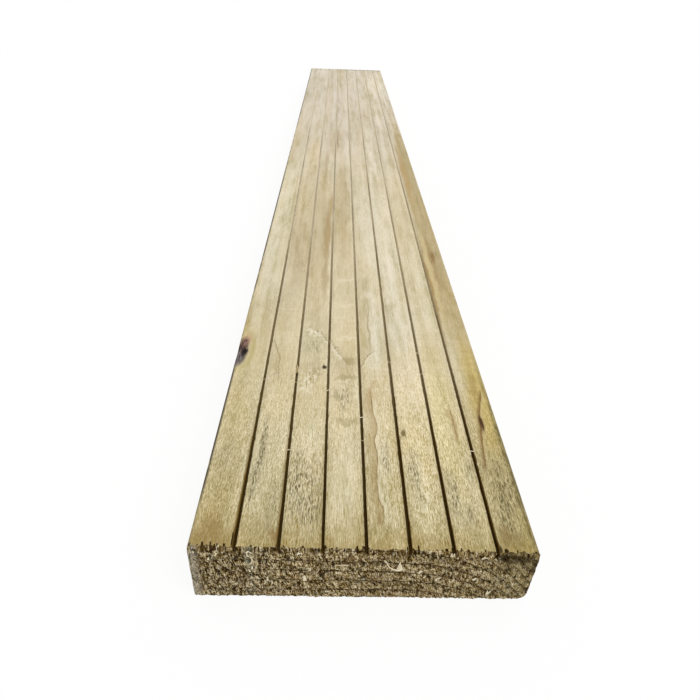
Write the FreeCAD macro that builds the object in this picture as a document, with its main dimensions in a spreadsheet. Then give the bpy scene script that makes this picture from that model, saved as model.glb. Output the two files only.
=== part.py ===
import FreeCAD, Part
import math
import os

import Sketcher
from FreeCAD import Vector

# A grooved decking board: one length of planed softwood with eased long edges and a row of
# narrow drainage grooves along its tread. Millimetres. The board lies flat: X runs across its
# width, Y along its length and Z up from the underside to the tread. The origin is the middle
# of the underside.

NODE = "decking_board"

# Driving dimensions: name, value in millimetres (or a count), and what it measures
SIZES = (
    ("board_length", 1200, "length, sawn square at both ends"),
    ("board_width", 145, "planed width, side to side"),
    ("board_thickness", 33, "planed thickness, underside to tread"),
    ("tread_arris_radius", 2, "radius of the two eased edges of the tread"),
    ("left_arris_radius", 1, "radius of the eased edge under the left side"),
    ("right_arris_radius", 5, "radius of the edge under the right side, which is rubbed rounder"),
    ("groove_count", 7, "number of drainage grooves"),
    ("groove_pitch", 18, "spacing of the grooves, centre to centre"),
    ("groove_offset", 1, "how far right of the board's middle the row of grooves is centred"),
    ("groove_mouth", 1.6, "width of a groove at the tread"),
    ("groove_floor", 1.1, "width of a groove at its floor"),
    ("groove_depth", 3, "depth of a groove below the tread"),
)

# How sketch constraints number an edge's two ends, the origin and the axes
START, END = range(1, 3)
ROOT_POINT = (-1, 1)
HORIZONTAL_AXIS, VERTICAL_AXIS = range(-1, -3, -1)


def dimension_sheet(doc):
    """The spreadsheet that every sketch and feature reads its sizes from."""
    sheet = doc.addObject("Spreadsheet::Sheet", "Dimensions")
    for row, (alias, value, meaning) in enumerate(SIZES, start=1):
        sheet.set(f"A{row}", meaning)
        sheet.set(f"B{row}", str(value))
        sheet.setAlias(f"B{row}", alias)
    doc.recompute()
    return sheet


def section_plane_sketch(body, name):
    """An empty sketch on the plane that cuts the board across: its x is across, its y is up."""
    plane = next(f for f in body.Origin.OriginFeatures if f.Role == "XZ_Plane")
    sketch = body.newObject("Sketcher::SketchObject", name)
    sketch.AttachmentSupport = [(plane, "")]
    sketch.MapMode = "FlatFace"
    return sketch


def dimension(sketch, name, expression, *constraint):
    """Adds a dimension to a sketch and binds it to an expression on the spreadsheet."""
    number = sketch.addConstraint(Sketcher.Constraint(*constraint))
    sketch.renameConstraint(number, name)
    sketch.setExpression(f"Constraints.{name}", expression)


def line(sketch, start, end):
    """A straight edge of a sketch between two points in its plane."""
    return sketch.addGeometry(Part.LineSegment(Vector(*start, 0), Vector(*end, 0)))


def quarter_arc(sketch, centre, radius, first_quadrant_turn):
    """A quarter circle that starts a number of quarter turns from the sketch's x direction."""
    circle = Part.Circle(Vector(*centre, 0), Vector(0, 0, 1), radius)
    first = first_quadrant_turn * math.pi / 2
    return sketch.addGeometry(Part.ArcOfCircle(circle, first, first + math.pi / 2))


def plain_section(body, size):
    """The board's outline across its length before grooving: a rectangle with four eased edges."""
    half = size.board_width / 2
    top = size.board_thickness
    tread, left, right = size.tread_arris_radius, size.left_arris_radius, size.right_arris_radius
    sketch = section_plane_sketch(body, "PlainSection")
    underside = line(sketch, (-half + left, 0), (half - right, 0))
    lower_right = quarter_arc(sketch, (half - right, right), right, 3)
    right_side = line(sketch, (half, right), (half, top - tread))
    upper_right = quarter_arc(sketch, (half - tread, top - tread), tread, 0)
    tread_line = line(sketch, (half - tread, top), (-half + tread, top))
    upper_left = quarter_arc(sketch, (-half + tread, top - tread), tread, 1)
    left_side = line(sketch, (-half, top - tread), (-half, left))
    lower_left = quarter_arc(sketch, (-half + left, left), left, 2)

    outline = (underside, lower_right, right_side, upper_right,
               tread_line, upper_left, left_side, lower_left)
    for edge, following in zip(outline, outline[1:] + outline[:1]):
        sketch.addConstraint(Sketcher.Constraint("Tangent", edge, END, following, START))
    for edge in (underside, tread_line):
        sketch.addConstraint(Sketcher.Constraint("Horizontal", edge))
    for edge in (left_side, right_side):
        sketch.addConstraint(Sketcher.Constraint("Vertical", edge))
    sketch.addConstraint(Sketcher.Constraint("PointOnObject", underside, START, HORIZONTAL_AXIS))

    dimension(sketch, "width", "Dimensions.board_width",
              "DistanceX", left_side, END, right_side, START, size.board_width)
    dimension(sketch, "half_width", "Dimensions.board_width / 2",
              "DistanceX", *ROOT_POINT, right_side, START, half)
    dimension(sketch, "thickness", "Dimensions.board_thickness",
              "DistanceY", underside, START, tread_line, START, size.board_thickness)
    for arc, name, alias, radius in ((upper_right, "upper_right", "tread_arris_radius", tread),
                                     (upper_left, "upper_left", "tread_arris_radius", tread),
                                     (lower_left, "lower_left", "left_arris_radius", left),
                                     (lower_right, "lower_right", "right_arris_radius", right)):
        dimension(sketch, name, f"Dimensions.{alias}", "Radius", arc, radius)
    return sketch


def groove_section(body, size):
    """The first groove's outline, drawn about its own centre line with its mouth on the tread."""
    half_mouth, half_floor = size.groove_mouth / 2, size.groove_floor / 2
    depth = size.groove_depth
    sketch = section_plane_sketch(body, "GrooveSection")
    sketch.setExpression("AttachmentOffset.Base.x",
                         "Dimensions.groove_offset"
                         " - Dimensions.groove_pitch * (Dimensions.groove_count - 1) / 2")
    sketch.setExpression("AttachmentOffset.Base.y", "Dimensions.board_thickness")
    mouth = line(sketch, (half_mouth, 0), (-half_mouth, 0))
    left_wall = line(sketch, (-half_mouth, 0), (-half_floor, -depth))
    floor = line(sketch, (-half_floor, -depth), (half_floor, -depth))
    right_wall = line(sketch, (half_floor, -depth), (half_mouth, 0))

    outline = (mouth, left_wall, floor, right_wall)
    for edge, following in zip(outline, outline[1:] + outline[:1]):
        sketch.addConstraint(Sketcher.Constraint("Coincident", edge, END, following, START))
    for edge in (mouth, floor):
        sketch.addConstraint(
            Sketcher.Constraint("Symmetric", edge, START, edge, END, VERTICAL_AXIS))
    sketch.addConstraint(Sketcher.Constraint("PointOnObject", mouth, START, HORIZONTAL_AXIS))

    dimension(sketch, "mouth", "Dimensions.groove_mouth",
              "DistanceX", mouth, END, mouth, START, size.groove_mouth)
    dimension(sketch, "floor", "Dimensions.groove_floor",
              "DistanceX", floor, START, floor, END, size.groove_floor)
    dimension(sketch, "depth", "Dimensions.groove_depth",
              "DistanceY", floor, START, mouth, END, depth)
    return sketch


def board_body(doc, size):
    """The board: its plain section run along its length, then grooved along the whole tread."""
    body = doc.addObject("PartDesign::Body", "Board")
    body.Label = NODE
    section = plain_section(body, size)
    blank = body.newObject("PartDesign::Pad", "PlanedBlank")
    blank.Profile = section
    blank.SideType = "Symmetric"
    blank.setExpression("Length", "Dimensions.board_length")
    doc.recompute()

    groove_outline = groove_section(body, size)
    first_groove = body.newObject("PartDesign::Pocket", "FirstGroove")
    first_groove.Profile = groove_outline
    first_groove.Type = "ThroughAll"
    first_groove.SideType = "Symmetric"
    doc.recompute()

    grooves = body.newObject("PartDesign::LinearPattern", "Grooves")
    grooves.Originals = [first_groove]
    grooves.Direction = (groove_outline, ["H_Axis"])
    grooves.setExpression("Length", "Dimensions.groove_pitch * (Dimensions.groove_count - 1)")
    grooves.setExpression("Occurrences", "Dimensions.groove_count")
    body.Tip = grooves
    doc.recompute()
    if grooves.Shape.Volume >= blank.Shape.Volume:
        raise RuntimeError("the grooves cut nothing out of the blank")
    return body


def check_document(doc, bodies):
    """Stops the build if a feature failed or a body isn't one sound solid."""
    for feature in doc.Objects:
        if "Invalid" in feature.State or "Error" in feature.State:
            raise RuntimeError(f"{feature.Name} failed: {feature.State}")
    for body in bodies:
        shape = body.Shape
        if shape.isNull() or not shape.isValid() or len(shape.Solids) != 1:
            raise RuntimeError(f"{body.Label} isn't one valid solid")


def main():
    doc = FreeCAD.newDocument("DeckingBoard")
    board = board_body(doc, dimension_sheet(doc))
    check_document(doc, [board])
    os.makedirs("parts", exist_ok=True)
    board.Shape.exportStep(f"parts/{board.Label}.step")
    box = board.Shape.BoundBox
    print(f"{board.Label}: {box.XLength:.1f} x {box.YLength:.1f} x {box.ZLength:.1f} mm,"
          f" {board.Shape.Volume / 1000:.1f} cm3, {len(board.Shape.Faces)} faces")


main()
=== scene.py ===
"""A grooved softwood decking board on a studio floor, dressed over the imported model.

The board is one closed mesh that stands for the CAD node. Three more pieces carry the fibres
that the saw tore at the two ends and the splinters that hang in the grooves. Metres throughout.
"""

import math

import bpy
import numpy as np
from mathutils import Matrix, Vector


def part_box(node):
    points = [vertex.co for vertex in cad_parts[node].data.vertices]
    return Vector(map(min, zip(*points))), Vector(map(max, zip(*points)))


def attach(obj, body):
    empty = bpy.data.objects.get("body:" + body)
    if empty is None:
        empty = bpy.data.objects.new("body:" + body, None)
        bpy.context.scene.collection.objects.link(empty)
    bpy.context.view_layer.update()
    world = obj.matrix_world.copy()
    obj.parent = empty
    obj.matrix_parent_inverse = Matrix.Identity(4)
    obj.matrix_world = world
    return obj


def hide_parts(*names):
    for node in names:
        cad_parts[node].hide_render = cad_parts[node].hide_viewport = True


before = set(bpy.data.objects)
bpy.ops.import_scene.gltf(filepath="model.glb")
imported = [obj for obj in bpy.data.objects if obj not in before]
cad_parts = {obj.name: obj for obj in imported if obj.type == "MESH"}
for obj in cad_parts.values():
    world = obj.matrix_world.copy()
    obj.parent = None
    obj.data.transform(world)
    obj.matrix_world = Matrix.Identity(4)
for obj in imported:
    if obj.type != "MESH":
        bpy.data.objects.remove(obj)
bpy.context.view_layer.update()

MM = 0.001

# The board's box, from the frame
board_low, board_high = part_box("decking_board")
HALF_WIDTH = board_high.x
NEAR_END, FAR_END = board_low.y, board_high.y
UNDERSIDE, TREAD = board_low.z, board_high.z
LENGTH = FAR_END - NEAR_END

# The moulded section
TREAD_ARRIS, LEFT_ARRIS, RIGHT_ARRIS = 2 * MM, 1 * MM, 5 * MM
GROOVE_COUNT, GROOVE_PITCH, GROOVE_OFFSET = 7, 18 * MM, 1 * MM
GROOVE_MOUTH, GROOVE_FLOOR, GROOVE_DEPTH = 1.6 * MM, 1.1 * MM, 3 * MM
MOUTH_EASE = 0.15 * MM
GROOVES = GROOVE_OFFSET + GROOVE_PITCH * (np.arange(GROOVE_COUNT) - (GROOVE_COUNT - 1) / 2)

# Growth rings: they lie level, rise along the board, and turn down towards its right side.
# Late wood is the last part of each ring
RING_WIDTH, RING_LEAN, RING_TURN, RING_BEND = 6.5 * MM, 0.011, 5.5 * MM, 110
LATE_FROM, LATE_TO = 0.74, 0.97

# The edge knot: across, from the near end, half width, half length and depth of its hollow
KNOT_X, KNOT_Y = -HALF_WIDTH + 3.2 * MM, NEAR_END + 142 * MM
KNOT_HALF_WIDTH, KNOT_HALF_LENGTH, KNOT_HOLLOW = 3.6 * MM, 13 * MM, 1.4 * MM

# The near end is sawn a little out of square: how far its right side stands out, below and above.
# Its upper edge is torn back, by a loss that falls off below the edge as a power of the height
SKEW_LOW, SKEW_TOP = 0.5 * MM, 1.9 * MM
EDGE_LOSS, EDGE_POWER = 0.6 * MM, 8

# How much of the floor's white is its own, which thins the shadow
FLOOR_GLOW = 0.88

# How finely the mesh is divided
RIB_COLUMNS, SIDE_ROWS, ARRIS_STEPS = 48, 72, 6

# The order of the board's three finishes, and how many torn fibres each end has, about
PLANED, GROOVED, SAWN = range(3)
FIBRE_COUNT = 1000

# Odd numbers and shifts that mix a corner's three indices and a seed into one number
MIX_FACTORS, MIX_SEED = np.array((374761393, 668265263, 1274126177)), 362437
MIX_ROUNDS, LAST_SHIFT = ((15, 739982445), (12, 695872825)), 15
LOW_32_BITS, LOW_24_BITS = 0xFFFFFFFF, 0xFFFFFF


def corner_random(corner, seed):
    """A fixed number from 0 to 1 for each whole-numbered corner: its mixed indices, cut to 24 bits."""
    mixed = ((corner * MIX_FACTORS).sum(-1) + seed * MIX_SEED) & LOW_32_BITS
    for shift, factor in MIX_ROUNDS:
        mixed = ((mixed ^ (mixed >> shift)) * factor) & LOW_32_BITS
    return ((mixed ^ (mixed >> LAST_SHIFT)) & LOW_24_BITS) / LOW_24_BITS


def lumps(points, cell, seed):
    """Soft lumps from -1 to 1: random values at the corners of cells, eased between the corners."""
    grid = points / np.asarray(cell, float)
    base = np.floor(grid).astype(np.int64)
    part = grid - base
    part = part * part * (3 - 2 * part)
    total = np.zeros(points.shape[:-1])
    for corner in np.ndindex(2, 2, 2):
        share = np.where(np.array(corner, bool), part, 1 - part).prod(-1)
        total += share * corner_random(base + np.array(corner), seed)
    return 2 * total - 1


def arris_drop(inset, radius):
    """How far a quarter round has fallen at a distance in from the board's side."""
    reach = np.clip(radius - inset, 0, radius)
    return radius - np.sqrt(radius ** 2 - reach ** 2)


def tread_height(x):
    """Height of the tread at x: flat, less the sides' quarter rounds and the grooves' trapezoids."""
    off = np.abs(np.asarray(x)[..., None] - GROOVES).min(-1)
    mouth = GROOVE_MOUTH / 2
    cut = np.interp(off, (GROOVE_FLOOR / 2, mouth, mouth + MOUTH_EASE), (GROOVE_DEPTH, MOUTH_EASE, 0))
    return TREAD - arris_drop(HALF_WIDTH - np.abs(x), TREAD_ARRIS) - cut


def underside_height(x):
    """Height of the underside at x: flat, with a quarter round at each side, larger at the right."""
    return (UNDERSIDE + arris_drop(HALF_WIDTH + x, LEFT_ARRIS)
            + arris_drop(HALF_WIDTH - x, RIGHT_ARRIS))


def columns_across():
    """Where the mesh has columns, and their ranks: 0 all along, 1 at both ends, 2 at the near end.

    A quarter round has columns at even angles, a groove has them at its corners, and a rib evenly.
    """
    turn = np.linspace(0, np.pi / 2, ARRIS_STEPS + 1)
    round_over = HALF_WIDTH - TREAD_ARRIS * (1 - np.cos(turn))
    half_floor, half_mouth = GROOVE_FLOOR / 2, GROOVE_MOUTH / 2
    wall = np.linspace(half_floor, half_mouth, 4)
    half_groove = np.concatenate((wall, [half_mouth + MOUTH_EASE]))
    groove = np.concatenate((-half_groove[::-1], [0], half_groove))
    groove_rank = np.array((0, 0, 2, 2, 0, 1, 0, 2, 2, 0, 0))

    places, ranks = [-round_over], [np.zeros(ARRIS_STEPS + 1, int)]
    step = np.arange(1, RIB_COLUMNS)
    for number, centre in enumerate(np.append(GROOVES, np.nan)):
        start = places[-1][-1]
        stop = centre + groove[0] if number < GROOVE_COUNT else round_over[-1]
        places.append(start + (stop - start) * step / RIB_COLUMNS)
        # The first rib holds the edge knot, so more of its columns run all along
        coarse = 2 if number == 0 else 6
        ranks.append(np.where(step % coarse == 0, 0, np.where(step % 2 == 0, 1, 2)))
        if number < GROOVE_COUNT:
            places.append(centre + groove)
            ranks.append(groove_rank)
    places.append(round_over[::-1])
    ranks.append(np.zeros(ARRIS_STEPS + 1, int))
    return np.concatenate(places), np.concatenate(ranks)


def rows_along():
    """Distances from the near end of the long faces' rows: close near the knots, then wider apart."""
    place, spacing = np.array((180, 300, 1200)) * MM, np.array((2, 7, 15)) * MM
    at = np.linspace(0, LENGTH, 4001)
    count = np.concatenate(([0], np.cumsum(np.diff(at) / np.interp(at, place, spacing)[1:])))
    first, last = np.interp((8 * MM, LENGTH - 6 * MM), at, count)
    return np.interp(np.linspace(first, last, int(last - first)), count, at)


def ring_level(past_turn, z):
    """A point's level in the stack of rings: its height, plus a cube of its way past their turn."""
    return past_turn ** 3 * RING_BEND + z


def torn_teeth(distance, across, count, widths, reaches, seed):
    """Depth of the notches torn into an end's edge: the deepest of many narrow bell-shaped bites."""
    pick = np.random.default_rng(seed)
    place = pick.uniform(-HALF_WIDTH, HALF_WIDTH, count)
    width = pick.uniform(*widths, count) * MM
    reach = pick.uniform(*reaches, count) * MM
    depth = pick.uniform(0.4, 1.2, count) * MM
    bell = np.exp(-((across[:, None] - place) / width) ** 2)
    return (depth * bell * np.clip(1 - distance[:, None] / reach, 0, 1)).max(1)


def sawn_relief(points, seed):
    """How far the rough end stands out from its plane: lumps of three sizes, rings, and torn pits."""
    rough = (0.14 * lumps(points, (3.1 * MM, 1, 2.6 * MM), seed)
             + 0.24 * lumps(points, (0.9 * MM, 1, 2.1 * MM), seed + 1)
             + 0.22 * lumps(points, (0.55 * MM, 1, 1.1 * MM), seed + 2))
    ring = ring_level(np.maximum(points[:, 0] - RING_TURN, 0), points[:, 2]) / RING_WIDTH
    late = np.sin(2 * np.pi * ring + 2 * lumps(points, (9 * MM, 1, 5 * MM), seed + 3))
    pit = np.clip(lumps(points, (0.9 * MM, 1, 1.5 * MM), seed + 4) - 0.35, 0, 1)
    return (rough + 0.10 * late - 1.3 * pit - 0.1) * MM


def board_lattice():
    """The board's closed lattice: rings of points round its section, all along it, and two end grids.

    The rings have every column and row at the near end, fewer at the far end and fewest between,
    and fans of triangles join a fine ring to a coarse one. Returns the points, the numbers of columns
    and rows, the distance round the ring, the long faces with their corners' places and the ring
    steps that they start from, and the faces of the ends.
    """
    column, column_rank = columns_across()
    n, m = len(column) - 1, SIDE_ROWS
    share = np.linspace(0, 1, m + 1)
    row_rank = np.where(np.arange(m + 1) % 12 == 0, 0, np.where(np.arange(m + 1) % 2 == 0, 1, 2))
    low, top = underside_height(column), tread_height(column)

    # The ring runs right along the tread, down the right side, left along the underside and up
    down = np.arange(m - 1, 0, -1)
    ring_column = np.concatenate((np.arange(n + 1), np.full(m - 1, n), np.arange(n, -1, -1),
                                  np.zeros(m - 1, int)))
    ring_row = np.concatenate((np.full(n + 1, m), down, np.zeros(n + 1, int), down[::-1]))
    ring_x = column[ring_column]
    ring_z = low[ring_column] + (top - low)[ring_column] * share[ring_row]
    on_side = (ring_row > 0) & (ring_row < m)
    rank = np.where(on_side, row_rank[ring_row], column_rank[ring_column])
    plain = (ring_row == 0) & (np.abs(ring_x) < HALF_WIDTH - 7 * MM)
    rank = np.where(plain & (rank == 0) & (ring_column % 4 != 0), 1, rank)
    turn = np.hypot(*(np.roll(a, -1) - a for a in (ring_x, ring_z)))
    ring_s = np.concatenate(([0], np.cumsum(turn)))

    ids = [np.flatnonzero(rank <= most) for most in (2, 0, 1)]
    near_rows = np.array((0, 0.35, 0.7, 1.1, 1.6, 2.3, 3.3, 4.8, 6.4)) * MM
    far_rows = LENGTH - np.array((4, 2.4, 1.2, 0.5, 0)) * MM
    rows = [near_rows, rows_along(), far_rows]

    points, index, count = [], [], 0
    for at, ring in zip(rows, ids):
        block = np.empty((len(at), len(ring), 3))
        block[..., 0], block[..., 1], block[..., 2] = ring_x[ring], NEAR_END + at[:, None], ring_z[ring]
        points.append(block.reshape(-1, 3))
        index.append(count + np.arange(len(at) * len(ring)).reshape(len(at), len(ring)))
        count += len(at) * len(ring)

    corners, spans, sides, total = [], [], [], len(ring_x)

    def add(vertices, s, y, start):
        """Keeps faces, their corners' places round and along, and the ring steps they start from."""
        corners.append(vertices)
        spans.append(np.stack((s, y), -1))
        sides.append(start)

    for at, ring, grid in zip(rows, ids, index):
        following = np.roll(grid, -1, 1)
        quads = np.stack((grid[:-1], following[:-1], following[1:], grid[1:]), -1).reshape(-1, 4)
        s0, s1 = ring_s[ring], ring_s[np.append(ring[1:], total)]
        s = np.broadcast_to(np.stack((s0, s1, s1, s0), -1), (len(at) - 1, len(ring), 4)).reshape(-1, 4)
        y = np.repeat(np.stack((at[:-1], at[:-1], at[1:], at[1:]), -1), len(ring), 0)
        add(quads, s, y, np.tile(ring, len(at) - 1))

    for fine, fine_row, coarse_row, flip in ((0, -1, 0, False), (2, 0, -1, True)):
        fine_ids, coarse_ids = ids[fine], ids[1]
        fine_points, coarse_points = index[fine][fine_row], index[1][coarse_row]
        fine_y, coarse_y = rows[fine][fine_row], rows[1][coarse_row]
        where = np.append(np.searchsorted(fine_ids, coarse_ids), len(fine_ids))
        middle = (where[:-1] + where[1:]) // 2
        step = np.arange(len(fine_ids))
        owner = np.searchsorted(middle, step, side="right")
        fine_s, coarse_s = (np.append(ring_s[ring], ring_s[-1]) for ring in (fine_ids, coarse_ids))
        fine_points, coarse_points = (np.append(p, p[0]) for p in (fine_points, coarse_points))
        fans = np.stack((fine_points[step], fine_points[step + 1], coarse_points[owner]), -1)
        fans_s = np.stack((fine_s[step], fine_s[step + 1], coarse_s[owner]), -1)
        fans_y = np.broadcast_to((fine_y, fine_y, coarse_y), fans.shape)
        each = np.arange(len(coarse_ids))
        bridges = np.stack((fine_points[middle], coarse_points[each + 1], coarse_points[each]), -1)
        bridges_s = np.stack((fine_s[middle], coarse_s[each + 1], coarse_s[each]), -1)
        bridges_y = np.broadcast_to((fine_y, coarse_y, coarse_y), bridges.shape)
        order = (2, 1, 0) if flip else (0, 1, 2)
        add(fans[:, order], fans_s[:, order], fans_y[:, order], fine_ids)
        add(bridges[:, order], bridges_s[:, order], bridges_y[:, order], coarse_ids)

    # Each end is a grid whose rim is the outermost ring
    rim = np.full((n + 1, m + 1), -1)
    rim[ring_column, ring_row] = np.arange(total)
    end_faces = []
    for end, row, most, flip in ((0, 0, 2, False), (2, -1, 1, True)):
        keep_columns, keep_rows = np.flatnonzero(column_rank <= most), np.flatnonzero(row_rank <= most)
        grid = rim[np.ix_(keep_columns, keep_rows)]
        inner = grid < 0
        grid[~inner] = index[end][row][np.searchsorted(ids[end], grid[~inner])]
        i, j = (a[inner] for a in np.meshgrid(keep_columns, keep_rows, indexing="ij"))
        place = np.stack((column[i], np.full(len(i), NEAR_END + rows[end][row]),
                          low[i] + (top - low)[i] * share[j]), -1)
        grid[inner] = count + np.arange(len(i))
        points.append(place)
        count += len(i)
        quads = np.stack((grid[:-1, :-1], grid[1:, :-1], grid[1:, 1:], grid[:-1, 1:]), -1)
        quads = quads.reshape(-1, 4)
        end_faces.append(quads[:, ::-1] if flip else quads)

    return np.concatenate(points), (n, m), ring_s, corners, spans, sides, end_faces


def place_charts(kind, s, y, ring_s, n, m):
    """Lays the long faces out flat for baking: the tread in two strips, and the other sides in bands.

    The strips meet at a cut across the tread. The nearer one is shorter, so its detail is finer.
    """
    marks = ring_s[[0, n, n + m, 2 * n + m, 2 * n + 2 * m]]
    part = (s - marks[kind][:, None]) / np.diff(marks)[kind][:, None]
    cut = 400 * MM
    near = (y.mean(1) < cut)[:, None]
    along = np.where(near, y / cut, (y - cut) / (LENGTH - cut))
    tread = np.stack((0.004 + 0.768 * along, np.where(near, 0.076, 0.540) + 0.456 * part), -1)
    right = np.stack((0.936 + 0.026 * part, 0.076 + 0.92 * y / LENGTH), -1)
    under = np.stack((0.004 + 0.992 * y / LENGTH, 0.004 + 0.064 * part), -1)
    left = np.stack((0.970 + 0.026 * part, 0.076 + 0.92 * y / LENGTH), -1)
    return np.choose(kind[:, None, None], (tread, right, under, left))


def build_mesh(name, points, faces, corner_uv, material_index, smooth, materials):
    """A mesh object at the origin from whole arrays: points, faces by kind, and their corners' maps."""
    mesh = bpy.data.meshes.new(name)
    mesh.vertices.add(len(points))
    mesh.vertices.foreach_set("co", np.ascontiguousarray(points, np.float32).ravel())
    sizes = np.concatenate([np.full(len(f), f.shape[1]) for f in faces])
    loops = np.concatenate([f.ravel() for f in faces])
    mesh.loops.add(len(loops))
    mesh.loops.foreach_set("vertex_index", loops.astype(np.int32))
    mesh.polygons.add(len(sizes))
    mesh.polygons.foreach_set("loop_start", (np.cumsum(sizes) - sizes).astype(np.int32))
    mesh.polygons.foreach_set("material_index", material_index.astype(np.int32))
    mesh.polygons.foreach_set("use_smooth", smooth.astype(bool))
    chart = mesh.uv_layers.new(name="OFBake")
    maps = np.concatenate([u.reshape(-1, 2) for u in corner_uv])
    chart.uv.foreach_set("vector", maps.astype(np.float32).ravel())
    for material in materials:
        mesh.materials.append(material)
    mesh.update(calc_edges=True)
    mesh.validate()
    piece = bpy.data.objects.new(name, mesh)
    bpy.context.scene.collection.objects.link(piece)
    return piece


def cut_reach(x, up):
    """How far the near end's cut stands out, at x and a share of the height: skew less torn edge."""
    skew = (x + HALF_WIDTH) / (2 * HALF_WIDTH) * (up * (SKEW_TOP - SKEW_LOW) + SKEW_LOW)
    return skew - up ** EDGE_POWER * EDGE_LOSS


def share_of_height(x, z):
    """How far up a point lies between the underside and the tread, from 0 to 1."""
    low, top = underside_height(x), tread_height(x)
    return np.clip((z - low) / (top - low), 0, 1)


def weather_board(exact):
    """Moves the lattice off its exact planes: nibbled grooves, the knot's hollow, rough skew ends."""
    points = exact.copy()
    x, y, z = exact.T
    up = share_of_height(x, z)
    on_tread, on_underside = up > 0.999, up < 0.001

    # Groove mouths wander a little and lose a bite here and there. Towards the near end their left lips
    # are worn, most at the board's left, and the mouths there are swollen narrower
    nearest = np.abs(x[:, None] - GROOVES).argmin(1)
    off = x - GROOVES[nearest]
    lip = on_tread & (np.abs(off) > GROOVE_MOUTH / 2 - 0.1 * MM) & (np.abs(off) < 1.1 * MM)
    along = np.stack((nearest * 7.0 + np.sign(off), y, np.zeros(len(x))), -1)
    bite = np.clip(lumps(along, (1, 2.6 * MM, 1), 21) - 0.5, 0, 1) * 0.5 * MM
    wander = lumps(along, (1, 14 * MM, 1), 22) * 0.05 * MM
    worn = np.interp(y - NEAR_END, (0, 30 * MM, 120 * MM), (0.95 * MM, 0.5 * MM, 0.1 * MM))
    worn = worn * (off < 0) * (0.8 + 0.3 * lumps(along, (1, 9 * MM, 1), 23))
    worn = worn * np.interp(nearest, (0, 1, 2), (1, 0.6, 0.1))
    swollen = np.interp(y - NEAR_END, (0, 150 * MM, 300 * MM), (0.18 * MM, 0.1 * MM, 0))
    swollen = swollen * np.interp(nearest, (2, 4), (1, 0))
    points[:, 0] += np.where(lip, np.sign(off) * (bite + wander + worn - swollen), 0)

    # The edge knot is a shallow ragged hollow just inside the upper left arris
    gap = np.hypot((x - KNOT_X) / KNOT_HALF_WIDTH, (y - KNOT_Y) / KNOT_HALF_LENGTH)
    ragged = gap + 0.16 * lumps(exact, (1.6 * MM, 4 * MM, 1), 31)
    hollow = KNOT_HOLLOW * np.clip(1 - ragged, 0, 1) ** 0.6 * on_tread
    points[:, 2] -= hollow * (1 + 0.35 * lumps(exact, (0.9 * MM, 5 * MM, 1), 32))

    # The near end's cut is skew and its upper edge is torn back; both fade out along the board
    fade = np.clip(1 - (y - NEAR_END) / (8 * MM), 0, 1)
    points[:, 1] -= fade * cut_reach(x, up)

    # The ends: relief on their faces, notches along their upper and lower edges
    for distance, outward, seed in ((y - NEAR_END, -1, 41), (FAR_END - y, 1, 61)):
        face = distance < 1e-6
        points[face, 1] += outward * sawn_relief(exact[face], seed)
        edge = distance < 3.5 * MM
        spikes = torn_teeth(distance[edge], x[edge], 38, (0.2, 0.38), (1.0, 2.6), seed + 5)
        crumbs = 0.5 * torn_teeth(distance[edge], x[edge], 80, (0.3, 0.6), (0.4, 0.9), seed + 7)
        notch = 0.4 * torn_teeth(distance[edge], x[edge], 45, (0.2, 0.45), (0.8, 2.4), seed + 6)
        above = np.where(face[edge], up[edge] ** 10, on_tread[edge])
        below = np.where(face[edge], (1 - up[edge]) ** 10, on_underside[edge])
        points[edge, 2] += notch * below - np.maximum(spikes, crumbs) * above
    return points


def grooved_board(planed, groove, sawn):
    """The board itself: the lattice, weathered, with planed, groove and sawn faces."""
    exact, (n, m), ring_s, corners, spans, sides, end_faces = board_lattice()
    points = weather_board(exact)
    charts, finish = [], []
    marks = np.array((0, n, n + m, 2 * n + m))
    for face, span, start in zip(corners, spans, sides):
        kind = np.searchsorted(marks, start, side="right") - 1
        charts.append(place_charts(kind, span[..., 0], span[..., 1], ring_s, n, m))
        middle = exact[face].mean(1)
        off = np.abs(middle[:, :1] - GROOVES).min(1)
        end_gap = np.minimum(middle[:, 1] - NEAR_END, FAR_END - middle[:, 1])
        torn = (end_gap < 4 * MM) & ((points - exact)[face][..., 2].min(1) < -0.25 * MM)
        in_groove = (kind == 0) & (off < GROOVE_MOUTH / 2)
        finish.append(np.where(torn, SAWN, np.where(in_groove, GROOVED, PLANED)))
    for face, first, size in zip(end_faces, (0.076, 0.634), (0.550, 0.362)):
        place = exact[face]
        u = 0.78 + 0.15 * (place[..., 2] - UNDERSIDE) / (TREAD - UNDERSIDE)
        v = first + size * (place[..., 0] + HALF_WIDTH) / (2 * HALF_WIDTH)
        charts.append(np.stack((u, v), -1))
        finish.append(np.full(len(face), SAWN))
    finish = np.concatenate(finish)
    piece = build_mesh("grooved_board", points, corners + end_faces, charts, finish, finish < SAWN,
                       (planed, groove, sawn))
    piece.data.set_sharp_from_angle(angle=math.radians(55))
    return piece


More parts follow.
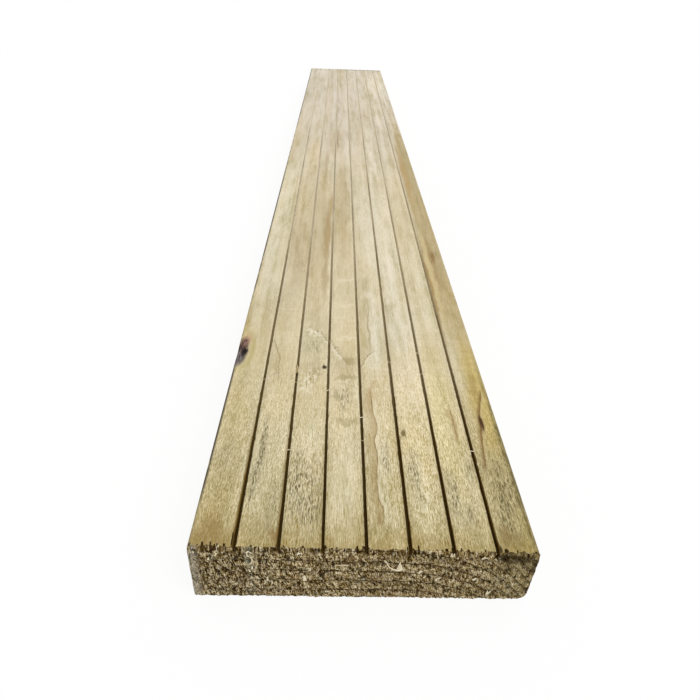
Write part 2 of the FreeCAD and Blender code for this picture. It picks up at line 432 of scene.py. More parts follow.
def sliver_arrays(root, lean, length, width, bend, tone, normal):
    """Tapered three-sided slivers: triangles carried along bent lines to a tip, closed at both ends.

    A line is root + lean * length * t + bend * length * t squared, and its width falls as (1 - t) to
    the 0.35. A sliver lies flat: it is less thick along its face's normal than it is wide.
    """
    count = len(root)
    lean = lean / np.linalg.norm(lean, axis=1, keepdims=True)
    side = np.cross(lean, normal)
    side /= np.linalg.norm(side, axis=1, keepdims=True)
    rise = np.cross(side, lean)
    t = np.array((-0.2, 0.35, 0.7, 1.0))
    line = (root[:, None] + lean[:, None] * (length[:, None] * t)[..., None]
            + bend[:, None] * (length[:, None] * np.clip(t, 0, 1) ** 2)[..., None])
    half = 0.5 * width[:, None] * np.clip(1 - np.clip(t, 0, 1), 0.03, 1) ** 0.35
    angle = np.radians((90, 210, 330))
    ring = (np.cos(angle)[:, None] * side[:, None, None]
            + 0.5 * np.sin(angle)[:, None] * rise[:, None, None])
    points = line[:, :, None] + half[..., None, None] * ring
    each = len(t) * len(angle)
    local = np.arange(each).reshape(len(t), len(angle))
    turned = np.roll(local, -1, 1)
    walls = np.stack((local[:-1], turned[:-1], turned[1:], local[1:]), -1).reshape(-1, 4)
    ends = np.stack((local[0, ::-1], local[-1]))
    base = each * np.arange(count)[:, None, None]
    u = np.clip(tone, 0.03, 0.97)[:, None, None] + np.array((-0.012, 0.0, 0.012))
    v = np.linspace(0.05, 0.95, len(t))[:, None]
    place = np.stack(np.broadcast_arrays(u, v), -1).reshape(count, each, 2)
    return (points.reshape(-1, 3), [(base + walls).reshape(-1, 4), (base + ends).reshape(-1, 3)],
            [place[:, walls].reshape(-1, 4, 2), place[:, ends].reshape(-1, 3, 2)],
            np.repeat(tone, each))


def sliver_piece(name, groups, normal, material):
    """One mesh of many slivers on one face, with each point's tone, dark to pale, in an attribute."""
    joined = (np.concatenate(values) for values in zip(*groups))
    points, faces, maps, tones = sliver_arrays(*joined, normal)
    total = sum(len(f) for f in faces)
    piece = build_mesh(name, points, faces, maps, np.zeros(total), np.zeros(total), (material,))
    tone = piece.data.attributes.new("tone", "FLOAT", "POINT")
    tone.data.foreach_set("value", tones.astype(np.float32))
    return piece


def end_place(end_y, outward, x, z):
    """Points on a sawn end, following the skew of the near cut."""
    y = end_y - (outward < 0) * cut_reach(x, share_of_height(x, z))
    return np.stack((x, y, z), -1)


# Black patches on the sawn ends: from the left side, up from the underside, half width and half height,
# in millimetres, then strength
BLACK_PATCHES = (
    (130.4, 29.6, 4, 4.2, 1.0), (137.5, 28.8, 8.5, 3.6, 0.9), (144.2, 24, 2.6, 7, 0.75),
    (95, 32.8, 2, 1.5, 0.8), (133.7, 21.8, 2.2, 1.8, 0.9), (19.9, 20.5, 1.4, 1.4, 1),
    (55.1, 15.5, 1.7, 2, 1), (59.4, 15.5, 1.2, 1.9, 0.9), (72.7, 14.6, 2.8, 1.8, 1),
    (100.7, 22.4, 1.3, 1.3, 0.9), (107.2, 18, 1.2, 1.8, 1), (120.1, 13.1, 1.9, 1.4, 1),
    (108.8, 5.1, 1.5, 1.2, 0.9), (122.3, 5.3, 1.4, 1.3, 1), (86.3, 12.6, 1.9, 1.1, 1),
    (25, 3.2, 1.2, 1.5, 1), (12, 16, 1.1, 3, 1), (43.8, 8.6, 1.5, 1.7, 0.9),
    (103, 13, 1.3, 1.2, 0.9), (40, 21, 1, 1, 1))


def side_tone(root):
    """How much paler or darker torn wood is by its place: bleached at the left, black in patches."""
    left, up = (root[:, 0] + HALF_WIDTH) / MM, (root[:, 2] - UNDERSIDE) / MM
    centre, height, wide, tall, strength = np.array(BLACK_PATCHES, float).T
    gap = ((left[:, None] - centre) / wide) ** 2 + ((up[:, None] - height) / tall) ** 2
    return 0.24 * np.clip(1 - left / 4.5, 0, 1) - (0.8 * strength * np.exp(-gap)).max(1)


def end_fibres(end_y, outward, count, seed):
    """Wood torn at a sawn end: upright chips and finer fibres over its face, and a fringe at its edges.

    Chips keep clear of the dark late wood, so that the rings show as lines between tiers of chips.
    """
    pick = np.random.default_rng(seed)
    groups = []

    def add(root, lean, shortest, longest, thinnest, widest, tone):
        """Keeps a group of slivers: bent a little, of sizes in millimetres, and clear of the floor."""
        size = len(root)
        bend = pick.normal(0, 0.1, (size, 3))
        bend[:, 2] = np.maximum(bend[:, 2], -0.05)
        length = pick.uniform(shortest, longest, size) * MM
        drop = np.maximum(-lean[:, 2], 0) * length
        root[:, 2] = np.maximum(root[:, 2], UNDERSIDE + 0.5 * MM + drop)
        width = pick.uniform(thinnest, widest, size) * MM
        groups.append((root, lean, length, width, bend, np.clip(tone, 0, 1)))

    # Chips, then fibres: how many, the spread of their turn, how far they may stand out, sizes, tones
    for amount, spread, steep, sizes, tone in (
            (int(count * 0.6), 0.35, 0.2, (0.6, 1.7, 0.16, 0.34), (1.0, 1.2)),
            (int(count * 0.5), 0.9, 0.4, (0.5, 1.2, 0.13, 0.25), (0.9, 1.0))):
        x = pick.uniform(-HALF_WIDTH + 0.8 * MM, HALF_WIDTH - 0.8 * MM, amount * 2)
        low, top = underside_height(x), tread_height(x)
        root = end_place(end_y, outward, x, low + (top - low) * pick.uniform(0.02, 0.97, amount * 2))
        ring = ring_level(np.maximum(x - RING_TURN, 0), root[:, 2]) / RING_WIDTH % 1
        in_line = (ring > LATE_FROM) & (ring < LATE_TO)
        clump = lumps(root, (2.5 * MM, 1, 2 * MM), seed + 1) - 1.5 * in_line
        root = root[np.argsort(-clump + pick.normal(0, 0.5, len(x)))[:amount]]
        turn, flip = pick.normal(np.pi / 2 + 0.22, spread, amount), pick.choice((-1, 1), amount)
        lean = np.stack((flip * np.cos(turn), outward * pick.uniform(0.04, steep, amount),
                         flip * np.sin(turn)), -1)

        # Tones spread wider at the left side, and are a little darker there
        wider = 0.2 * np.clip(2 - (root[:, 0] + HALF_WIDTH) / (25 * MM), 0, 1)
        shade = (pick.beta(*tone, amount) - 0.5) * (1 + wider) + 0.5 - 0.2 * wider
        add(root, lean, *sizes, shade + side_tone(root))

    # The fringe: a comb of bars that hangs from the tread's edge, and short ends along the other edges
    side = HALF_WIDTH - 0.4 * MM
    for amount, edge, lean, sizes in (
            (150, "tread", (0, 0.1, -1), (1.0, 2.8, 0.3, 0.6)),
            (70, "underside", (0, 0.6, 0.5), (0.3, 0.8, 0.3, 0.6)),
            (30, "left", (-0.1, 0.8, 0.3), (0.3, 0.7, 0.3, 0.5)),
            (30, "right", (0.1, 0.8, 0.3), (0.3, 0.7, 0.3, 0.5))):
        a = pick.uniform(-1, 1, amount)
        x = {"left": -side, "right": side}.get(edge, a * (HALF_WIDTH - 0.6 * MM))
        x = np.broadcast_to(x, amount).astype(float)
        low, top = underside_height(x), tread_height(x)
        up_side = low + (top - low) * (a + 1) / 2
        z = {"tread": top - 0.8 * MM, "underside": low + 0.5 * MM}.get(edge, up_side)
        lean = np.array((1, outward, 1)) * lean + pick.normal(0, 0.1, (amount, 3))
        root = end_place(end_y, outward, x, z)
        add(root, lean, *sizes, pick.beta(1.2, 1.4, amount) + side_tone(root))
    return groups


def bridged_grooves():
    """Fibres that the saw left across the grooves at the far end: tiers of them from wall to wall."""
    heights = np.arange(0.3, GROOVE_DEPTH / MM, 0.55) * MM
    x, z = (a.ravel() for a in np.meshgrid(GROOVES - GROOVE_MOUTH / 2, TREAD - heights))
    count = len(x)
    root = np.stack((x, np.full(count, FAR_END - 0.5 * MM), z), -1)
    lean = np.tile((1.0, 0.1, 0.0), (count, 1))
    length, width, tone = (np.full(count, same) for same in (GROOVE_MOUTH * 1.2, 0.8 * MM, 0.85))
    return root, lean, length, width, np.zeros((count, 3)), tone


# Pale chips on the near end: from the left side, up from the underside, length and width,
# in millimetres, then turn in degrees
PALE_CHIPS = (
    (81.3, 27, 2, 0.9, -50), (82.4, 25, 2.2, 0.8, -60), (83.4, 22.9, 2, 1, -25),
    (84.6, 21.8, 2.2, 1, -8), (86.4, 21.2, 2.4, 1.5, 15), (87, 21.6, 4.8, 1.9, 84),
    (88.2, 22.2, 3.6, 1.5, 98), (87.2, 24.6, 2.6, 1.1, 80), (48, 13.4, 3.2, 1.9, 88),
    (47.2, 15.2, 1.8, 1.2, 60), (50, 20, 2, 1.4, 70), (49.2, 21.3, 1.4, 0.9, 20),
    (108.2, 31, 1.9, 1.1, 92), (109.2, 31, 1.8, 1.1, 88), (96, 19.6, 2.2, 1.4, 75),
    (96.9, 20.4, 1.5, 1, 110), (127, 5, 2.8, 1.2, 92), (127.7, 5.8, 2, 0.8, 70),
    (119.6, 15.4, 1.6, 1.4, 60), (103.6, 14.4, 2, 0.9, 80), (104.4, 15.6, 1.6, 0.8, 40),
    (61.6, 23.8, 3.6, 0.7, 4), (64, 24, 2.6, 0.7, 6), (32.3, 12.8, 2.6, 1, 88),
    (10.6, 2, 2, 1.2, 95), (111, 14.4, 1.8, 1.1, 80), (24.4, 30.4, 1.8, 1, 60),
    (25.6, 30.9, 1.5, 0.9, -30), (24.8, 28.4, 2, 1, 100), (26, 27.6, 1.6, 1, 40),
    (26.6, 25.6, 2, 1.1, 96), (25.7, 23.6, 2, 0.9, 70), (26.2, 20.6, 2, 0.9, 84),
    (25.2, 18.6, 1.6, 0.9, 110), (25.8, 14, 1.8, 0.8, 95), (25, 9.5, 1.5, 0.7, 85),
    (45.2, 30.2, 1.8, 1, 70), (45.9, 30.6, 1.4, 0.8, 30), (121.2, 29.8, 1.8, 1, 60),
    (122, 30.2, 1.6, 0.9, 20), (137, 12, 2, 0.8, 110), (57, 5, 2, 0.8, 15), (8.5, 25.9, 1.6, 1, 80))


def pale_chips():
    """Larger pale chips on the near end, placed one by one, each leaning out of the face a little."""
    x, z, length, width, turn = np.array(PALE_CHIPS, float).T
    root = end_place(NEAR_END - 0.7 * MM, -1, x * MM - HALF_WIDTH, z * MM)
    turn = np.radians(turn)
    lean = np.stack((np.cos(turn), np.full(len(x), -0.12), np.sin(turn)), -1)
    tone = 0.95 + 0.05 * np.sin(7 * x)
    return root, lean, length * MM, width * MM, np.zeros((len(x), 3)), tone


# Splinters in the grooves: the groove's number, distance from the near end and length in millimetres,
# then turn in degrees
SPLINTERS = (
    (1, 119, 9, 84), (1, 119.6, 8.4, 82), (1, 121, 7, 86), (1, 122.5, 6, 88), (1, 111, 2.6, 20),
    (0, 113, 3, 45), (6, 58, 3.2, 10), (3, 237, 5, 82), (2, 152, 5, 75), (2, 104, 3, 40),
    (4, 133, 2.6, 15), (3, 82, 2.2, 15), (5, 143, 2.6, 20), (1, 57, 2.5, 5), (3, 64, 2.2, 25),
    (5, 121, 2.4, 40))


def groove_splinters():
    """Pale splinters across the grooves: each starts on one lip and leans over towards the other."""
    groove, from_end, length, turn = np.array(SPLINTERS, float).T
    pick = np.random.default_rng(7)
    count = len(groove)
    side = np.where(np.arange(count) % 2, 1.0, -1.0)
    x = GROOVES[groove.astype(int)] - side * (GROOVE_MOUTH / 2 + 0.15 * MM)
    root = np.stack((x, NEAR_END + from_end * MM, np.full(count, TREAD - 0.12 * MM)), -1)
    turn = np.radians(turn)
    lean = np.stack((side * np.cos(turn) + side * 0.12, np.sin(turn), np.full(count, 0.02)), -1)
    bend = np.stack((np.zeros(count), np.zeros(count), pick.uniform(-0.02, 0.06, count)), -1)
    width, tone = pick.uniform(0.45, 0.8, count) * MM, pick.uniform(0.75, 1, count)
    return [(root, lean, length * MM, width, bend, tone)]


def colour(red, green, blue):
    """A colour as it shows on a screen, 0 to 255 each, as the linear numbers that a shader takes."""
    c = np.array((red, green, blue)) / 255
    return (*np.where(c <= 0.04045, c / 12.92, ((c + 0.055) / 1.055) ** 2.4), 1.0)


class Field:
    """A shader socket that takes part in Python arithmetic: each operator adds a Math node."""

    def __init__(self, finish, socket):
        self.finish, self.socket = finish, socket

    def math(self, operation, *values):
        """A Math node on this field and any others."""
        return self.finish.node("ShaderNodeMath", {"operation": operation},
                                dict(enumerate((self, *values))))

    def __add__(self, other):
        return self.math("ADD", other)

    def __mul__(self, other):
        return self.math("MULTIPLY", other)

    def __sub__(self, other):
        return self.math("SUBTRACT", other)

    def __rsub__(self, other):
        return self.math("MULTIPLY", -1).math("ADD", other)

    def __truediv__(self, other):
        return self.math("DIVIDE", other)

    def __pow__(self, other):
        return self.math("POWER", other)

    def __neg__(self):
        return self.math("MULTIPLY", -1)

    __radd__ = __add__
    __rmul__ = __mul__


class Finish:
    """The nodes of one material, or of the world: it adds nodes and gives their outputs as fields."""

    def __init__(self, owner):
        owner.use_nodes = True
        self.owner, self.tree = owner, owner.node_tree
        self.tree.nodes.clear()

    def node(self, kind, settings=None, inputs=None, output=0):
        """Any node: its type, its settings, which are set first, and its sockets' values or links."""
        made = self.tree.nodes.new(kind)
        for name, value in (settings or {}).items():
            if name == "stops":
                ramp = made.color_ramp.elements
                for number, (place, tint) in enumerate(value):
                    stop = ramp[number] if number < 2 else ramp.new(place)
                    stop.position, stop.color = place, tint
            elif name == "curve":
                bends = made.mapping.curves[0].points
                bends[0].location, bends[1].location = value[0], value[-1]
                for place in value[1:-1]:
                    bends.new(*place)
                made.mapping.update()
            else:
                setattr(made, name, value)
        for name, value in (inputs or {}).items():
            if isinstance(value, Field):
                self.tree.links.new(value.socket, made.inputs[name])
            else:
                made.inputs[name].default_value = value
        return Field(self, made.outputs[output]) if len(made.outputs) else None

    def places(self):
        """Object coordinates, one field each for across, along and up."""
        at = self.node("ShaderNodeTexCoord", output="Object")
        return [self.node("ShaderNodeSeparateXYZ", None, {0: at}, axis) for axis in range(3)]

    def vector(self, x, y, z):
        return self.node("ShaderNodeCombineXYZ", None, {0: x, 1: y, 2: z})

    def noise(self, x, y, z, detail=2.0, roughness=0.5):
        """Smooth noise, about 0.5, over coordinates that are already divided by the size of a lump."""
        return self.node("ShaderNodeTexNoise", {"noise_dimensions": "3D", "normalize": True}, {
            "Vector": self.vector(x, y, z), "Scale": 1.0, "Detail": detail, "Roughness": roughness})

    def cells(self, x, y, z):
        """A number from 0 to 1 for each irregular cell, over coordinates divided by a cell's size."""
        tint = self.node("ShaderNodeTexVoronoi", {"voronoi_dimensions": "3D", "feature": "F1"},
                         {"Vector": self.vector(x, y, z), "Scale": 1.0, "Randomness": 1.0}, "Color")
        return self.node("ShaderNodeSeparateColor", None, {0: tint})

    def ease(self, value, start, stop):
        """0 before start, 1 after stop, eased between; start may be above stop."""
        return self.node("ShaderNodeMapRange", {"interpolation_type": "SMOOTHSTEP"}, {
            "Value": value, "From Min": start, "From Max": stop, "To Min": 0.0, "To Max": 1.0})

    def mix(self, share, first, second):
        """Two colours mixed by a share from 0 to 1."""
        return self.node("ShaderNodeMix", {"data_type": "RGBA", "clamp_factor": True},
                         {0: share, 6: first, 7: second}, 2)

    def ramp(self, value, stops):
        """A colour that runs through stops, each a place from 0 to 1 and a colour."""
        return self.node("ShaderNodeValToRGB", {"stops": stops}, {0: value})

    def done(self, base, roughness, height, bump_strength, gloss):
        """The surface shader: colour, roughness, a bump from a height in metres, and its gloss."""
        bump = self.node("ShaderNodeBump", None, {
            "Strength": bump_strength, "Distance": 1.0, "Height": height})
        shader = self.node("ShaderNodeBsdfPrincipled", None, {
            "Base Color": base, "Roughness": roughness, "Normal": bump, "Specular IOR Level": gloss})
        self.node("ShaderNodeOutputMaterial", None, {"Surface": shader})
        return self.owner


def spot(f, place, centre, from_end, half_width, half_length, core=0.3):
    """A soft mark: 1 inside its core, easing to 0 at its rim, which is an ellipse round its centre."""
    gap = f.node("ShaderNodeVectorMath", {"operation": "MULTIPLY_ADD"}, {
        0: place, 1: (1 / half_width, 1 / half_length, 0),
        2: (-centre / half_width, -from_end / half_length, 0)})
    return f.ease(f.node("ShaderNodeVectorMath", {"operation": "LENGTH"}, {0: gap}, "Value"), 1.0, core)


def grain_line(f, left, out, route):
    """A wandering line along the grain: how far right of it a point lies, and 1 along its run, else 0.

    The line's place across is a smooth curve of its place along, through the points of its route.
    """
    outs, lefts = zip(*route)
    start, stretch = outs[0], outs[-1] - outs[0]
    low, reach = min(lefts), max(lefts) - min(lefts)
    share = (out - start) / stretch
    bends = [((along - start) / stretch, (across - low) / reach) for along, across in route]
    at = f.node("ShaderNodeFloatCurve", {"curve": bends}, {"Value": share})
    return left - (at * reach + low), f.ease(share, 0.0, 0.12) * f.ease(share, 1.0, 0.88)


# The two knots, round which the grain parts: from the left side, from the near end, half width and
# half length, in millimetres, then how far the grain is pushed away
KNOTS = ((3.0, 144, 10, 30, 0.75), (53, 126, 2.6, 9, 0.6))


def bent_grain(x, y):
    """Place across the grain, with the fibres parted round the knots by a bell-shaped amount."""
    for centre, from_end, wide, long, push in KNOTS:
        u = x - (centre * MM - HALF_WIDTH)
        v = (y - (NEAR_END + from_end * MM)) / (long * MM)
        bell = (-(u * u * (1 / (wide * MM) ** 2) + v * v)).math("EXPONENT")
        x = x - u * bell * push
    return x


def ring_phase(f, x, y, z):
    """A point's level in the growth rings, counted in rings, with the slow wander of a real stem."""
    slow = f.noise(x / 0.06, y / 0.33, z / 0.06, 1.0)
    quick = f.noise(x / 0.016, y / 0.10, z / 0.016, 1.0)
    level = ring_level((x - RING_TURN).math("MAXIMUM", 0), z)
    return (level + y * RING_LEAN + slow * 0.014 + quick * 0.0022) / RING_WIDTH


# Marks on the tread, each: from the left side, from the near end, half width and half length, in
# millimetres, then strength and colour. Broad tones first: pale and dark stretches of the ribs, and
# the honey band at the right
BROAD_TONES = (
    (8, 12, 13, 60, 0.55, (166, 146, 90)), (140, 45, 15, 130, 0.55, (170, 148, 76)),
    (82, 4, 60, 14, 0.2, (170, 152, 100)), (139, 370, 13, 420, 0.85, (186, 166, 120)),
    (139, 600, 12, 160, 0.55, (182, 162, 112)), (89, 330, 22, 260, 0.5, (224, 213, 186)),
    (106, 240, 12, 240, 0.55, (230, 217, 188)), (44, 330, 14, 190, 0.75, (192, 173, 133)),
    (64, 400, 10, 230, 0.75, (190, 172, 133)), (8, 390, 14, 210, 0.85, (230, 220, 192)),
    (8, 440, 13, 90, 0.7, (238, 229, 205)), (8, 175, 8, 46, 0.4, (222, 210, 178)),
    (28, 275, 10, 110, 0.65, (196, 178, 144)), (118, 250, 9, 95, 0.4, (228, 214, 180)),
    (102, 100, 12, 60, 0.55, (230, 214, 176)), (64, 40, 10, 52, 0.6, (220, 206, 168)),
    (87, 34, 6, 44, 0.5, (220, 206, 164)), (8, 75, 10, 62, 0.55, (192, 176, 128)),
    (28, 35, 9, 50, 0.35, (186, 172, 130)), (140, 108, 10, 76, 0.7, (196, 173, 98)),
    (46, 42, 9, 50, 0.75, (228, 214, 176)), (100, 58, 10, 78, 0.8, (223, 209, 167)),
    (84, 130, 9, 30, 0.4, (228, 215, 182)), (84, 62, 8, 40, 0.7, (230, 215, 175)),
    (84, 178, 8, 72, 0.85, (236, 226, 202)), (100, 195, 11, 120, 0.7, (238, 228, 204)),
    (100, 600, 9, 170, 0.75, (236, 227, 207)), (118, 780, 9, 190, 0.45, (234, 222, 198)),
    (100, 12, 8, 16, 0.4, (216, 201, 156)), (104, 112, 22, 48, 0.35, (228, 214, 178)),
    (64, 128, 8, 25, 0.6, (186, 170, 130)), (28, 130, 9, 30, 0.4, (194, 176, 132)),
    (26, 330, 9, 100, 0.4, (198, 180, 144)), (116, 90, 12, 84, 0.45, (222, 205, 143)),
    (46, 122, 9, 24, 0.4, (186, 170, 132)), (30, 560, 14, 120, 0.35, (206, 188, 140)),
    (20, 690, 12, 60, 0.3, (196, 186, 156)), (60, 900, 40, 90, 0.3, (220, 204, 184)),
    (28, 1030, 42, 150, 0.55, (202, 191, 166)), (125, 1020, 32, 150, 0.7, (233, 223, 199)),
    (55, 640, 20, 100, 0.55, (196, 180, 148)), (8, 960, 10, 200, 0.45, (198, 186, 158)),
    (37, 740, 18, 90, 0.4, (196, 180, 142)), (64, 1140, 9, 60, 0.4, (226, 215, 190)),
    (82, 1140, 9, 60, 0.5, (196, 184, 156)), (46, 1140, 9, 60, 0.4, (194, 182, 154)),
    (138, 1140, 8, 60, 0.5, (232, 222, 198)))

# Grey sap stain, which breaks up into flecks: the last number is its strength
GREY_STAIN = (
    (46, 30, 13, 34, 1.0), (42, 48, 7, 26, 0.4), (51, 22, 5, 24, 0.4), (136, 10, 8, 10, 0.7),
    (24.6, 60, 2.4, 30, 1.3), (22.8, 34, 2.2, 22, 1.1), (33, 22, 4, 20, 0.5),
    (84.5, 54, 4.4, 20, 0.7), (97, 42, 5, 22, 0.9), (114, 30, 5, 24, 1.0), (138, 34, 9, 36, 1.0),
    (134, 20, 6, 18, 0.6), (64, 97, 8, 18, 0.6), (119, 18, 5, 14, 0.6), (46, 150, 9, 16, 0.5),
    (18, 205, 10, 34, 0.3), (124, 46, 3, 12, 0.6), (100, 28, 3, 10, 0.5), (8, 55, 5, 20, 0.3))

# Brown and olive marks: pitch, smudges and stains
BROWN_MARKS = (
    (136.2, 79, 1.9, 10, 1.0, (82, 52, 20)), (95, 71, 1.7, 5.5, 0.9, (112, 94, 44)),
    (92.5, 66, 1.2, 6, 0.6, (132, 112, 58)), (122, 76, 1.5, 15, 0.55, (158, 128, 74)),
    (120, 88, 2.2, 5, 0.4, (170, 138, 82)), (80, 16, 1.8, 6, 0.5, (142, 106, 54)),
    (80.3, 104, 1.8, 12, 0.45, (184, 152, 104)), (80.8, 172, 1, 34, 0.6, (160, 138, 96)),
    (59.8, 101, 1.6, 11, 0.5, (160, 148, 110)), (67.5, 132.5, 6.5, 6.5, 0.6, (164, 150, 102)),
    (54, 395, 3.5, 44, 0.65, (176, 142, 92)), (51, 325, 4.5, 95, 0.75, (172, 146, 100)),
    (43.5, 330, 4, 120, 0.5, (216, 201, 166)), (50.5, 240, 3.5, 40, 0.45, (160, 134, 90)),
    (128.8, 230, 2, 110, 0.85, (172, 142, 84)), (132.4, 256, 2.8, 110, 0.6, (218, 196, 142)),
    (135.6, 275, 2.6, 80, 0.6, (166, 138, 94)), (128.4, 0, 1.8, 3.4, 0.9, (44, 34, 14)),
    (24.6, 62, 1.5, 26, 0.25, (126, 114, 78)), (136.5, 281, 2.4, 14, 0.6, (140, 104, 56)),
    (133, 500, 5, 150, 0.55, (178, 142, 78)), (58.5, 630, 2, 70, 0.55, (146, 122, 84)),
    (73, 660, 5, 34, 0.4, (164, 146, 106)), (46, 540, 4, 70, 0.4, (168, 140, 98)),
    (66, 116.3, 9, 2.8, 0.5, (150, 139, 86)), (66, 79, 10, 4.5, 0.5, (156, 143, 90)),
    (66, 71.5, 9, 2, 0.45, (228, 215, 178)), (66, 157, 10, 2.6, 0.7, (236, 223, 190)),
    (66, 200, 10, 3, 0.6, (234, 221, 190)), (66, 237, 10, 4, 0.6, (234, 221, 190)),
    (23, 118, 2.6, 22, 0.2, (190, 152, 104)), (138, 112, 3, 20, 0.4, (150, 124, 70)),
    (8, 5, 9, 11, 0.55, (142, 112, 58)), (27, 10, 8, 14, 0.3, (164, 144, 90)),
    (137, 5, 8, 9, 0.4, (132, 112, 58)), (35, 6, 4, 7, 0.6, (136, 104, 54)),
    (132, 8, 4, 7, 0.5, (128, 102, 52)), (30, 700, 4, 60, 0.35, (176, 150, 100)),
    (137, 640, 5, 60, 0.45, (172, 150, 98)))

# Torn grain, which shows as pale flecks: the last number is its strength
PALE_TEARS = (
    (43, 108, 7, 12, 1.1), (47, 119, 7, 9, 0.9), (45.5, 164, 8, 8, 1.2), (22, 115, 6, 9, 0.7),
    (66, 108, 7, 16, 0.5), (100, 120, 8, 20, 0.4), (84, 60, 3, 20, 0.5), (88, 104, 5, 10, 0.5))

# Late wood lines: points from the near end and from the left side, then how jagged the line is,
# the width, colour and strength of the painted shading on its left, and the colour and strength of
# the painted shading on its right
WOOD_LINES = (
    (((8, 77.5), (12, 80.5), (20, 81.5), (26, 79.8), (40, 79.5), (54, 80.5), (64, 79.5), (74, 81.5),
      (90, 79.5), (112, 80)), 0, 6.5, (166, 138, 86), 0.6, (234, 222, 188), 0.45),
    (((126.9, 67.4), (135.3, 63.5), (149.5, 57.8), (156, 53.6), (164.6, 48.6), (169, 44), (174, 40)),
     9, 3.4, (238, 228, 200), 0.85, (178, 160, 118), 0.5),
    (((126, 74.5), (130.6, 75.8), (137.6, 78.6), (145, 83.9)),
     3, 4, (190, 172, 130), 0.4, (234, 223, 192), 0.6),
    (((112, 27.5), (126, 26.5), (134, 26.5), (142, 24.5), (158, 20.5)),
     2, 3, (198, 172, 128), 0.2, (222, 207, 172), 0.3),
    (((40, 131.5), (50, 132.5), (60, 133.5), (76, 135.5), (90, 137.5), (102, 140.5), (110, 141.5)),
     0, 2.6, (124, 90, 42), 0.75, (206, 186, 136), 0.5),
    (((64, 122.5), (76, 121.5), (92, 121.5)), 0, 2.4, (176, 146, 92), 0.35, (224, 206, 160), 0.5))

# The distance along the board by which marks begin to lengthen
LONG_RUN = 120 * MM


def long_run(y):
    """Place along the board on a logarithmic scale, on which marks lengthen away from the near end."""
    return ((y - NEAR_END) / LONG_RUN + 1).math("LOGARITHM", math.e) * LONG_RUN


def soft_figure(f, grain, y, z, run):
    """The soft figure of planed wood: patches, streaks and fibres along the grain, each about 0.5."""
    patch = f.noise(grain / 0.012, run / 0.034, z / 0.013, 2.0)
    streak = f.noise(grain / 0.0027, run / 0.045, z / 0.0026, 3.0, 0.55)
    fibre = f.noise(grain / 0.00055, y / 0.009, z / 0.0006, 2.0)
    return patch, streak, fibre


def fine_figure(f, grain, y, z):
    """Late wood, 0 to 1 by the place in a ring, and fine threads about 0.5, cells plus strands."""
    part = ring_phase(f, grain, y, z).math("FRACT")
    late = f.ease(part, 0.35, 0.9) * f.ease(part, 1.0, 0.94)
    strand = f.noise(grain / 0.0003, y / 0.006, z / 0.0003, 1.0)
    thread = f.cells(grain / 0.00027, y / 0.0013, z / 0.0003) + (strand - 0.5) * 1.8
    return late, thread


